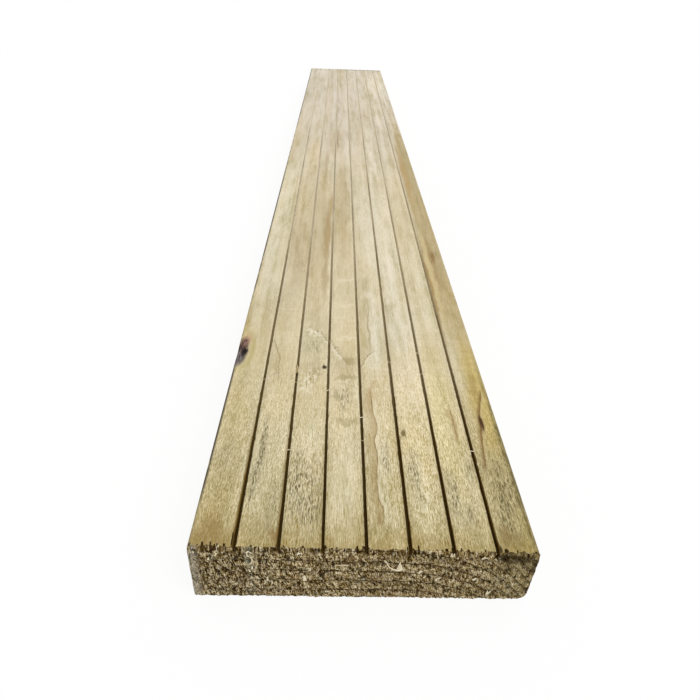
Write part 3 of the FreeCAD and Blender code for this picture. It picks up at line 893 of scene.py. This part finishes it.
def planed_wood():
    """Planed softwood, green from treatment: tan, mottled, flecked, soaked darker at the sawn end."""
    f = Finish(bpy.data.materials.new("planed_softwood"))
    x, y, z = f.places()
    grain, run = bent_grain(x, y), long_run(y)
    patch, streak, fibre = soft_figure(f, grain, y, z, run)
    late, thread = fine_figure(f, grain, y, z)
    left, out = (x + HALF_WIDTH) / MM, (y - NEAR_END) / MM
    wave = f.noise(x / 0.006, y / 0.02, z / 0.006) - 0.5
    ripple = f.noise(x / 0.0016, y / 0.004, z / 0.0016 + 9.0) - 0.5
    soft_left, soft_out = left + wave * 5 + ripple * 2, out + wave * 14 + ripple * 6
    place = f.vector(soft_left, soft_out, 0.0)

    base = f.ramp(soft_out / (LENGTH / MM), (
        (0.0, colour(180, 162, 112)), (1.0, colour(216, 205, 182)), (0.017, colour(196, 182, 138)),
        (0.042, colour(207, 193, 152)), (0.08, colour(213, 198, 157)), (0.17, colour(213, 199, 162)),
        (0.33, colour(213, 199, 163)), (0.5, colour(215, 202, 175)), (0.67, colour(216, 203, 179))))
    for centre, from_end, wide, long, strength, tone in BROAD_TONES:
        base = f.mix(spot(f, place, centre, from_end, wide, long, 0.2) * strength, base, colour(*tone))

    # Figure: mottled, streaked and threaded by a gain that is strongest on blue, so that dark wood
    # is browner. Fine threads fade along the board, and the middle ribs have long strands too
    pitch = GROOVE_PITCH / MM
    ribs = (left - (GROOVES[0] + HALF_WIDTH) / MM) / pitch
    close = f.ease(out, 170.0, 20.0) * 0.8 + 0.2
    far = f.ease(out, 350.0, 600.0)
    on_tread = f.ease(z, TREAD - 4 * MM, TREAD - 1 * MM)
    chatter = f.noise(x / 0.014, y / 0.0034, z / 0.011 + 6.0, 2.0) - 0.5
    chatter = chatter * f.ease(out, 50.0, 110.0) * f.ease(out, 260.0, 150.0)
    hue = f.noise(x / 0.014, run / 0.03, z / 0.014 + 4.0) - 0.5
    each_rib = (f.noise(ribs.math("FLOOR") * 5.3, run / 0.06, 2.5, 1.0) - 0.5) * on_tread
    blotch = (f.noise(x / 0.005, run / 0.008, z / 0.005 + 3.5, 2.0) - 0.5) * f.ease(out, 100.0, 220.0)
    middle = f.ease(left, 34.0, 44.0) * f.ease(left, 96.0, 86.0)
    busy = 0.74 - spot(f, place, 64, 30, 11, 60, 0.3) * 0.28 - middle * 0.12
    strand = f.noise(x / 0.0003, y / 0.008, z / 0.0003 + 1.0, 1.0) * middle + (1 - middle) * 0.5
    broad = ((streak - 0.5) * (0.58 - close * 0.22 - far * 0.15) + (patch - 0.5) * 0.55
             + blotch * (0.6 + far * 0.15) + wave * (0.2 + close * 0.1))
    broad = broad - broad.math("MAXIMUM", 0.0) * 0.5
    swing = ((thread - 0.5) * close * busy + (strand - 0.5) * close * 1.1 + (fibre - 0.5) * 0.46
             + broad + chatter * f.ease(patch, 0.42, 0.6) * 0.35
             + each_rib * (0.4 - close * 0.2) - late * 0.08 + 0.055)
    base = f.node("ShaderNodeVectorMath", {"operation": "MULTIPLY"}, {
        0: base, 1: f.vector(swing * 0.9 + hue * 0.13 + 1, swing + 1, swing * 1.5 - hue * 0.16 + 1)})

    # Olive and brown where the preservative soaked in from the sawn end
    damp = soft_out + (f.noise(x / 0.007, y / 0.01, z / 0.007 + 7.0) - 0.5) * 60
    base = f.mix(f.ease(damp, 8.0, -6.0) * 0.32, base, colour(150, 124, 62))

    # The lips of the grooves: dirty on their left near the sawn end; further along, a painted highlight
    # on both lips
    beside = (ribs + 0.5).math("FRACT") - 0.5
    beside = (beside + ripple * 0.04) * pitch
    inner = f.ease(left, 8.0, 12.0) * f.ease(left, 140.0, 136.0)
    lip_highlight = f.ease(beside.math("ABSOLUTE"), 2.2, 1.2) * inner * f.ease(out, 40.0, 160.0)
    base = f.mix(lip_highlight * 0.25, base, colour(236, 226, 200))
    dirty = f.ease(beside, -2.2, -1.1) * f.ease(beside, 0.4, 0.0) * inner * f.ease(out, 130.0, 10.0)
    base = f.mix(dirty * (f.ease(left, 44.0, 34.0) * 0.5 + 0.25), base, colour(112, 88, 38))

    # Lines of late wood: a thin dark line along a raised edge, with painted shade on one side and a
    # painted highlight on the other, partly the wood's own colour
    step = 0.0
    jag = f.noise(x / 0.0021, y / 0.0026, z / 0.0021, 2.0) - 0.5
    for route, jagged, wide, dark, dark_strength, pale, pale_strength in WOOD_LINES:
        gap, along = grain_line(f, left + ripple * 1.2 + jag * jagged, out, route)
        shade = f.ease(gap, -wide, -0.2) * f.ease(gap, 0.25, -0.1) * along
        base = f.mix(shade * dark_strength, base, colour(*dark))
        painted_right_shading = f.ease(gap, 3.2, 0.3) * f.ease(gap, 0.0, 0.3) * along
        base = f.mix(painted_right_shading * pale_strength, base, colour(*pale))
        thin = f.ease(gap.math("ABSOLUTE"), 0.6, 0.1) * f.ease(fibre, 0.36, 0.56) * along
        base = f.mix(thin * 0.65, base, colour(126, 100, 56))
        step = f.ease(gap, -0.3, 0.3) * along + step

    # Grey sap stain and torn grain, both in flecks
    stain, tears = 0.0, 0.0
    for centre, from_end, wide, long, strength in GREY_STAIN:
        stain = spot(f, place, centre, from_end, wide, long, 0.0) * strength + stain
    for centre, from_end, wide, long, strength in PALE_TEARS:
        tears = spot(f, place, centre, from_end, wide, long, 0.2) * strength + tears
    fleck = f.noise(x / 0.00036, y / 0.0028, z / 0.00042 + 2.0, 2.0, 0.6)
    base = f.mix(stain * 0.3, base, colour(204, 196, 162))
    base = f.mix(stain * f.ease(fleck, 0.46, 0.6) * 0.75, base, colour(106, 94, 50))
    dash = f.cells(x / 0.00036, y / 0.0024, z / 0.00045)
    base = f.mix(stain * f.ease(dash, 0.8, 0.85) * 0.9, base, colour(86, 75, 38))
    flake = f.noise(x / 0.0012, y / 0.0032, z / 0.0012 + 5.0, 2.0, 0.6)
    base = f.mix(tears * f.ease(flake, 0.5, 0.4) * 0.8, base, colour(240, 230, 202))
    base = f.mix(tears * f.ease(flake, 0.53, 0.63) * 0.5, base, colour(148, 130, 86))

    for centre, from_end, wide, long, strength, tone in BROWN_MARKS:
        base = f.mix(spot(f, place, centre, from_end, wide, long) * strength, base, colour(*tone))

    # The edge knot: a dark core in grey and purple torn wood that meets the edge, in a pinkish and
    # olive halo. The last mark is the small knot in the third rib
    tight = f.vector(left + ripple * 1.8 + (TREAD - z) * (0.5 / MM), out + ripple * 7, 0.0)
    torn = f.noise(x / 0.0008, y / 0.007, z / 0.0008 + 3.0, 1.0)
    base = f.mix(spot(f, tight, 2.0, 142, 13, 38, 0.4) * 0.4, base, colour(214, 197, 144))
    ring = spot(f, tight, 1.5, 144, 10, 25, 0.8) * (1 - spot(f, tight, 0.5, 143, 8.6, 24, 0.8))
    base = f.mix(ring * 0.4, base, colour(176, 160, 92))
    base = f.mix(spot(f, tight, 4.6, 154, 4.2, 9.5, 0.2) * 0.75, base, colour(194, 152, 122))
    base = f.mix(spot(f, tight, 1.2, 138, 6.2, 15.5, 0.55), base,
                 f.mix(f.ease(torn, 0.4, 0.6), colour(84, 76, 74), colour(128, 120, 114)))
    base = f.mix(spot(f, tight, 3.0, 149.5, 4.2, 9.5, 0.3) * 0.9, base,
                 f.mix(f.ease(torn, 0.42, 0.6), colour(60, 40, 42), colour(138, 102, 92)))
    base = f.mix(spot(f, tight, 4.6, 143.5, 3.4, 10, 0.1) * 0.8, base, colour(58, 38, 38))
    base = f.mix(spot(f, tight, 5.0, 142.5, 1.9, 5.5, 0.4), base, colour(20, 12, 12))
    base = f.mix(spot(f, tight, 53, 126, 1.9, 3.2, 0.4), base, colour(62, 44, 24))

    # Painted shade along the left arris, broken here and there, and along the right arris near the sawn
    # end; a darker grey line on the far edge
    painted_left_arris_shade = f.ease(left, 2.2, 0.8) * f.ease(patch + (fibre - 0.5) * 0.8, 0.36, 0.5) * on_tread
    painted_left_arris_shade = painted_left_arris_shade * (f.ease(out, 16.0, 36.0) * 0.75 + 0.25)
    base = f.mix(painted_left_arris_shade * 0.9, base, colour(58, 50, 32))
    # Painted shade on the right arris near the sawn end
    rim = f.ease(left + ripple * 3, 141.4, 143.0) * f.ease(out, 170.0, 70.0) * on_tread
    base = f.mix(rim * (f.ease(fibre, 0.42, 0.55) * 0.5 + 0.35), base, colour(100, 88, 48))
    far_rim = f.ease(out, 1186.0, 1197.0) * f.ease(left, 30.0, 90.0)
    base = f.mix(far_rim * 0.6, base, colour(110, 102, 82))

    rough = 0.76 + (fibre - 0.5) * 0.25
    height = (fibre * 0.10 + thread * 0.06 + streak * 0.10 + step * 0.06) * MM
    return f.done(base, rough, height, 0.9, 0.25)


def groove_wood():
    """The grooves' walls and floors: dirty near the sawn end; further along cleaner, and painted paler
    to lift their shade.
    """
    f = Finish(bpy.data.materials.new("groove_softwood"))
    x, y, z = f.places()
    run = long_run(y)
    patch, streak, fibre = soft_figure(f, bent_grain(x, y), y, z, run)
    out = (y - NEAR_END) / LENGTH
    # Painted light: further along, the grooves are paler than the tread, and in patches paler still,
    # which lifts the shade in them
    base = f.ramp(out + (patch - 0.5) * 0.04, (
        (0.0, colour(78, 58, 20)), (1.0, colour(240, 233, 216)), (0.04, colour(94, 75, 32)),
        (0.08, colour(128, 110, 64)), (0.12, colour(168, 150, 106)), (0.18, colour(200, 186, 148)),
        (0.3, colour(224, 214, 188)), (0.6, colour(236, 228, 210))))
    broken = f.noise(x / 0.009, run / 0.016, 1.5, 2.0)
    base = f.mix(f.ease(broken, 0.5, 0.64) * f.ease(out, 0.1, 0.4) * 0.3, base, colour(250, 244, 228))
    base = f.mix(f.ease(broken, 0.48, 0.36) * f.ease(out, 0.1, 0.3) * 0.15, base, colour(150, 134, 98))
    base = f.mix(f.ease(x, 0.01, 0.03) * f.ease(out, 0.06, 0.12) * 0.3, base, colour(240, 230, 202))
    dirt = f.ease(out, 0.6, 0.2)
    base = f.mix(f.ease(streak, 0.5, 0.68) * dirt * 0.4, base, colour(116, 96, 54))
    base = f.mix(f.ease(fibre, 0.52, 0.7) * dirt * 0.35, base, colour(92, 74, 38))
    # Painted light near the sawn end: the walls' upper part, by the mouth, is a lighter brown than the
    # shaded depth
    rim = f.ease(z, TREAD - 2.2 * MM, TREAD - 0.6 * MM) * f.ease(out, 0.16, 0.02)
    base = f.mix(rim * 0.85, base, colour(142, 112, 52))
    return f.done(base, 0.82 + (fibre - 0.5) * 0.2, fibre * 0.15 * MM, 0.8, 0.08)


def sawn_wood():
    """The rough sawn ends: torn end grain in tiers of upright dark and pale bars, with painted shade in
    its pits.
    """
    f = Finish(bpy.data.materials.new("sawn_end_grain"))
    x, y, z = f.places()
    left, up = (x + HALF_WIDTH) / MM, (z - UNDERSIDE) / MM
    sway = f.noise(x / 0.014, y / 0.02, z / 0.014) - 0.5
    phase = ring_level((x - RING_TURN).math("MAXIMUM", 0), z) / RING_WIDTH + sway * 0.3
    part, tier = phase.math("FRACT"), phase.math("FLOOR")
    lean = x + z * 0.26
    block = f.cells(lean / 0.0008, y / 0.05 + tier * 3.7, z / 0.0022)
    grit = f.cells(lean / 0.00026, y / 0.05, z / 0.0008)
    bar = f.noise(lean / 0.00055, y / 0.02 + tier * 3.7, z / 0.0026, 1.5, 0.5)
    fleck = f.noise(lean / 0.00027, y / 0.02, z / 0.0008, 2.0, 0.6)
    clot = f.noise(x / 0.0017, y / 0.02 + 8.0, z / 0.0018, 1.0)
    patch = f.noise(x / 0.011, y / 0.02, z / 0.006, 2.0)
    comb = f.cells(x / 0.0006, y / 0.05 + 5.0, z / 0.012)

    # The left side is rougher and darker, the right side finer and paler, and the top is a comb
    at_top = f.ease(up, 29.0, 31.0)
    rougher, darker = f.ease(left, 60.0, 25.0), f.ease(left, 60.0, 20.0)
    contrast = 1.3 + rougher * 0.35 - f.ease(left, 100.0, 138.0) * 0.1
    level = 0.515 - f.ease(left, 50.0, 15.0) * 0.035 + f.ease(left, 115.0, 138.0) * 0.045
    grainy = ((block - 0.5) * 0.22 + (grit - 0.5) * 0.4 + (bar - 0.5) * (rougher * 0.25 + 0.4)
              + (fleck - 0.5) * 0.65)
    grainy = grainy * (1 - at_top * 0.4) + at_top * (comb - 0.5) * 0.4
    base = f.ramp(grainy * contrast + level, (
        (0.26, colour(40, 24, 3)), (0.76, colour(242, 229, 194)), (0.39, colour(104, 80, 33)),
        (0.50, colour(152, 126, 71)), (0.62, colour(194, 172, 120))))
    slot = f.cells(lean / 0.001, y / 0.05 + 2.0, z / 0.0017)
    clotted = f.ease(clot + darker * 0.03, 0.62, 0.68) * (darker * 0.25 + 0.5)
    base = f.mix(clotted, base, colour(44, 28, 5))
    base = f.mix(f.ease(slot + darker * 0.05, 0.92, 0.94) * 0.8, base, colour(40, 25, 5))
    base = f.mix(f.ease(slot, 0.06, 0.04) * 0.6, base, colour(204, 190, 156))
    base = f.mix(f.ease(clot, 0.40, 0.32) * 0.2, base, colour(190, 172, 134))
    line = f.ease(part, 0.76, 0.84) * f.ease(part, 0.96, 0.9)
    line = line * f.ease(fleck, 0.34, 0.5) * f.ease(bar, 0.3, 0.46)
    base = f.mix(line * (f.ease(left, 10.0, 50.0) * 0.7 + 0.2), base, colour(46, 31, 8))
    base = f.mix(f.ease(patch, 0.52, 0.68) * 0.35, base, colour(84, 68, 39))
    base = f.mix(f.ease(patch, 0.48, 0.36) * 0.25, base, colour(150, 118, 84))

    # Greyer along the left side; greener and finely ringed towards the right, with one long scratch
    speck = f.ease(fleck, 0.42, 0.56)
    base = f.mix(f.ease(left, 5.5, 1.0) * (speck * 0.8 + 0.05), base, colour(192, 186, 168))
    base = f.mix(f.ease(left, 118.0, 142.0) * 0.3, base, colour(134, 124, 78))
    thin = (phase * 4).math("FRACT")
    hatch = f.ease(thin, 0.55, 0.8) * f.ease(thin, 1.0, 0.9)
    hatch = hatch * f.ease(left, 108.0, 130.0) * f.ease(fleck, 0.38, 0.52)
    base = f.mix(hatch * 0.5, base, colour(70, 58, 30))
    scratch = f.ease((up - 20.5 + (left - 119.5) * 0.607 + sway * 2).math("ABSOLUTE"), 0.5, 0.15)
    scratch = scratch * f.ease(left, 118.0, 121.0) * f.ease(left, 137.0, 132.0)
    base = f.mix(scratch * 0.7, base, colour(186, 174, 142))

    # A pale smear down the left, and the black patches, both broken up
    smear = f.ease((left - 25).math("ABSOLUTE"), 2.6, 0.8) * (f.ease(up, 18.0, 23.0) * 0.6 + 0.4)
    base = f.mix(smear * speck * 0.7, base, colour(180, 180, 156))
    fray = (fleck - 0.5) * 5
    ragged = f.vector(left + sway * 2 + fray, up + sway * 2 + (bar - 0.5) * 3 + fray, 0.0)
    black = speck * 0.3 + 0.7
    for centre, height, wide, tall, strength in BLACK_PATCHES:
        soaked = spot(f, ragged, centre, height, wide, tall, 0.3) * strength * black
        base = f.mix(soaked, base, colour(32, 26, 12))

    # Painted shade in pits and notches: darker by how far a point lies behind the plane of the cut,
    # which is skew at the near end
    reach = cut_reach(x, (z - UNDERSIDE) / (TREAD - UNDERSIDE))
    behind = (y - NEAR_END + reach).math("MINIMUM", FAR_END - y)
    base = f.mix(f.ease(behind, 0.05 * MM, 0.55 * MM) * 0.9, base, colour(46, 27, 3))
    height = (block * 0.2 + grit * 0.12 + bar * 0.4 + fleck * 0.35) * MM
    return f.done(base, 0.9 + (fleck - 0.5) * 0.1, height, 1.0, 0.02)


def fibre_wood():
    """Torn fibres: from dark and soaked to bleached, by each fibre's own tone."""
    f = Finish(bpy.data.materials.new("torn_fibre"))
    tone = f.node("ShaderNodeAttribute", {"attribute_name": "tone"}, None, "Fac")
    x, y, z = f.places()
    grit = f.noise(x / 0.0006, y / 0.0006, z / 0.0006)
    base = f.ramp(tone + (grit - 0.5) * 0.2, (
        (0.0, colour(42, 27, 4)), (1.0, colour(243, 231, 202)), (0.3, colour(100, 79, 36)),
        (0.6, colour(148, 126, 80)), (0.8, colour(181, 161, 116))))
    return f.done(base, 0.85 + (grit - 0.5) * 0.1, grit * 0.1 * MM, 0.5, 0.03)


def studio_floor():
    """A plain floor that runs past the picture's edges; it shows white and keeps the soft shadow."""
    f = Finish(bpy.data.materials.new("studio_floor"))
    seen = f.node("ShaderNodeLightPath", output="Is Camera Ray")
    for kind in ("Is Glossy Ray", "Is Transmission Ray"):
        seen = seen.math("MAXIMUM", f.node("ShaderNodeLightPath", output=kind))
    pale = f.node("ShaderNodeBsdfDiffuse", None, {"Color": (0.78, 0.78, 0.78, 1)})
    white = f.node("ShaderNodeBsdfDiffuse", None, {"Color": (1, 1, 1, 1)})
    glow = f.node("ShaderNodeEmission", None, {"Color": (1, 1, 1, 1), "Strength": 1.0})
    shown = f.node("ShaderNodeMixShader", None, {0: FLOOR_GLOW, 1: white, 2: glow})
    surface = f.node("ShaderNodeMixShader", None, {0: seen, 1: pale, 2: shown})
    f.node("ShaderNodeOutputMaterial", None, {"Surface": surface})
    reach, level = 12.0, UNDERSIDE - 0.4 * MM
    corner = np.array(((-1, -1), (1, -1), (1, 1), (-1, 1)), float) * reach
    points = np.concatenate((corner, np.full((4, 1), level)), 1)
    floor = build_mesh("studio_floor", points, [np.array([[0, 1, 2, 3]])],
                       [(corner / reach / 2 + 0.5)[None]], np.zeros(1), np.zeros(1), (f.owner,))


def studio_light():
    """An even pale sky and one broad soft lamp, from the front right: the tread is lit at about 1."""
    sky_level, lamp_level = 0.62, 0.38
    spread, height, turn = (math.radians(angle) for angle in (55, 56, 35))
    world = bpy.data.worlds.new("studio_sky")
    bpy.context.scene.world = world
    f = Finish(world)
    seen = f.node("ShaderNodeLightPath", output="Is Camera Ray")
    level = f.node("ShaderNodeMapRange", None, {"Value": seen, "To Min": sky_level, "To Max": 1.0})
    sky = f.node("ShaderNodeBackground", None, {"Color": (1, 1, 1, 1), "Strength": level})
    f.node("ShaderNodeOutputWorld", None, {"Surface": sky})
    lamp = bpy.data.lights.new("soft_lamp", "SUN")
    lamp.angle = spread
    lamp.energy = lamp_level * math.pi / math.sin(height)
    holder = bpy.data.objects.new("soft_lamp", lamp)
    holder.rotation_euler = (math.radians(90) - height, 0, turn)
    bpy.context.scene.collection.objects.link(holder)


def photo_camera():
    """The photograph's viewpoint: close behind the near end, looking down along the board."""
    picture_width, focal = 700, 588.3
    place = (-14.6 * MM, NEAR_END - 153.8 * MM, 234 * MM)
    tilt, roll, turn = (math.radians(angle) for angle in (56.061, -1.935, -0.692))
    lens = bpy.data.cameras.new("photo_camera")
    lens.sensor_width = 36
    lens.lens = lens.sensor_width * focal / picture_width
    lens.clip_start, lens.clip_end = 0.01, 100
    camera = bpy.data.objects.new("photo_camera", lens)
    camera.location = place
    camera.rotation_euler = (tilt, roll, turn)
    bpy.context.scene.collection.objects.link(camera)
    bpy.context.scene.camera = camera


board = grooved_board(planed_wood(), groove_wood(), sawn_wood())
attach(board, "root")
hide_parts("decking_board")

torn = fibre_wood()
near_fibres = end_fibres(NEAR_END, -1, FIBRE_COUNT, 101) + [pale_chips()]
far_fibres = end_fibres(FAR_END, 1, FIBRE_COUNT, 202) + [bridged_grooves()]
for name, groups, normal in (("near_end_fibres", near_fibres, (0, 1, 0)),
                             ("far_end_fibres", far_fibres, (0, 1, 0)),
                             ("groove_splinters", groove_splinters(), (0, 0, 1))):
    piece = sliver_piece(name, groups, normal, torn)
    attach(piece, "root")

studio_floor()
studio_light()
photo_camera()
bpy.context.scene.view_settings.view_transform = "Standard"
